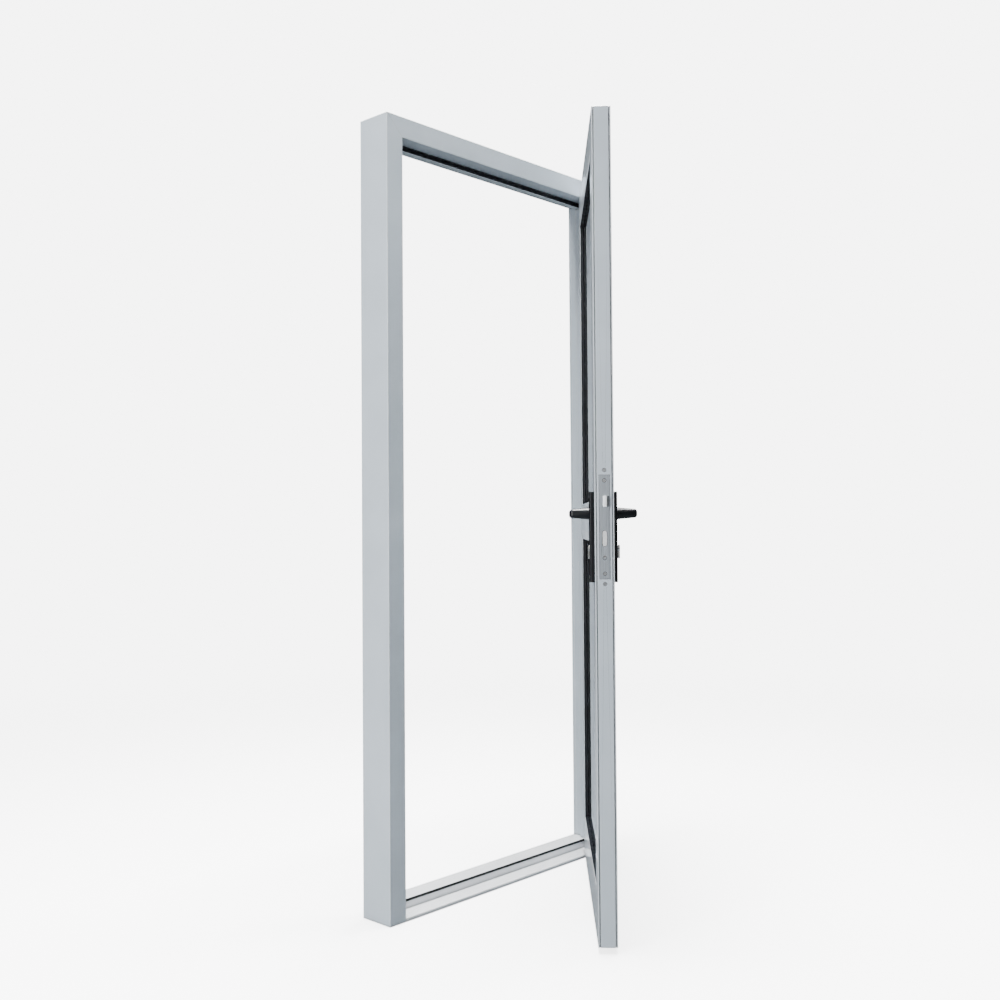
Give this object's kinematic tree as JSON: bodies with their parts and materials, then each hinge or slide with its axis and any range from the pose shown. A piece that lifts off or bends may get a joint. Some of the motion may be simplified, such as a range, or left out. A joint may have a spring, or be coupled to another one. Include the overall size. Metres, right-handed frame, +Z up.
{
  "type": "glass door",
  "caption": "Outward-opening glazed aluminium door leaf in its frame, with lever handles, mortice lock, key cylinder, seals and a low sill.",
  "frame": {"origin": "centre of the sill's underside, midway through the frame's depth", "axes": "+Z up, +X along the frame's width toward the hinge jamb, -Y toward the outside, where the leaf opens"},
  "size_m": [0.93, 0.6641, 2.1],
  "materials": {
    "frame_profile": "satin silver-grey powder coat",
    "sill_profile": "satin silver-grey powder coat, lighter where it is walked on",
    "leaf_profile": "satin silver-grey powder coat",
    "glazing_bead": "satin silver-grey powder coat",
    "hinge_body": "satin silver-grey powder coat",
    "cast_connector": "as-cast aluminium",
    "moulded_plastic": "black moulded polyamide",
    "door_seal": "black EPDM, matt",
    "glazing_gasket": "black EPDM, matt",
    "pane_glass": "clear float glass, polished",
    "glass_spacer": "dark grey warm-edge spacer",
    "stainless_plate": "brushed stainless steel",
    "bolt_metal": "nickel-plated, lightly worn",
    "zinc_steel": "zinc-plated steel",
    "screw_steel": "stainless steel",
    "cylinder_metal": "satin nickel",
    "handle_plate": "black powder coat, satin",
    "handle_lever": "black powder coat, satin"
  },
  "bodies": {
    "frame": {"frame_jamb_lock": "frame_profile", "frame_jamb_hinge": "frame_profile", "frame_head": "frame_profile", "sill": "sill_profile", "frame_corner_cleats": "cast_connector", "sill_end_blocks": "moulded_plastic", "sill_screws": "screw_steel", "seal_jamb_lock": "door_seal", "seal_jamb_hinge": "door_seal", "seal_head": "door_seal", "seal_sill": "door_seal", "strike_plate": "stainless_plate", "strike_box": "moulded_plastic", "strike_screws": "screw_steel", "hinge_frame_halves": "hinge_body", "hinge_pins": "zinc_steel", "hinge_washers": "moulded_plastic", "hinge_frame_screws": "screw_steel"},
    "leaf": {"leaf_stile_lock": "leaf_profile", "leaf_stile_hinge": "leaf_profile", "leaf_rail_top": "leaf_profile", "leaf_rail_mid": "leaf_profile", "leaf_rail_bottom": "leaf_profile", "rail_connectors": "cast_connector", "stile_end_caps": "moulded_plastic", "upper_pane_outer": "pane_glass", "upper_pane_inner": "pane_glass", "upper_spacer": "glass_spacer", "lower_pane_outer": "pane_glass", "lower_pane_inner": "pane_glass", "lower_spacer": "glass_spacer", "upper_gasket_outer": "glazing_gasket", "upper_gasket_inner": "glazing_gasket", "lower_gasket_outer": "glazing_gasket", "lower_gasket_inner": "glazing_gasket", "upper_beads": "glazing_bead", "lower_beads": "glazing_bead", "setting_blocks": "moulded_plastic", "hinge_leaf_halves": "hinge_body", "hinge_leaf_screws": "screw_steel", "lock_case": "zinc_steel", "lock_faceplate": "stainless_plate", "lock_screws": "screw_steel", "cylinder_body": "cylinder_metal", "cylinder_screw": "screw_steel", "plate_outside": "handle_plate", "plate_inside": "handle_plate", "plate_screws": "screw_steel"},
    "handles": {"lock_hub": "zinc_steel", "spindle": "zinc_steel", "lever_outside": "handle_lever", "lever_inside": "handle_lever", "lever_pins": "screw_steel"},
    "latch": {"latch_bolt": "bolt_metal"},
    "dead_bolt": {"dead_bolt": "bolt_metal"},
    "key_cylinder": {"cylinder_plugs": "cylinder_metal", "cylinder_cam": "cylinder_metal"}
  },
  "joints": [
    {"name": "leaf_swing", "type": "hinge", "parent": "frame", "child": "leaf", "pos_m": [0.4085, -0.0616, 1.05], "axis": [0, 0, 1], "range_deg": [-40.7, 69.3]},
    {"name": "lever_turn", "type": "hinge", "parent": "leaf", "child": "handles", "pos_m": [-0.20491, -0.54688, 1.0515], "axis": [-0.6521, 0.7581, 0], "range_deg": [0, 40], "stiffness_Nm_per_rad": 2.5, "springref_deg": -22.92},
    {"name": "latch_slide", "type": "slide", "parent": "leaf", "child": "latch", "axis": [0.7581, 0.6521, 0], "range_m": [0, 0.01]},
    {"name": "key_turn", "type": "hinge", "parent": "leaf", "child": "key_cylinder", "pos_m": [-0.20491, -0.54688, 0.9665], "axis": [-0.6521, 0.7581, 0], "range_deg": [0, 360]},
    {"name": "bolt_slide", "type": "slide", "parent": "leaf", "child": "dead_bolt", "axis": [-0.7581, -0.6521, 0], "range_m": [0, 0.02]}
  ],
  "couplings": [
    {"joint": "latch_slide", "follows": "lever_turn", "m_per_rad": 0.014323},
    {"joint": "key_turn", "follows": "bolt_slide", "rad_per_m": 314.13}
  ]
}
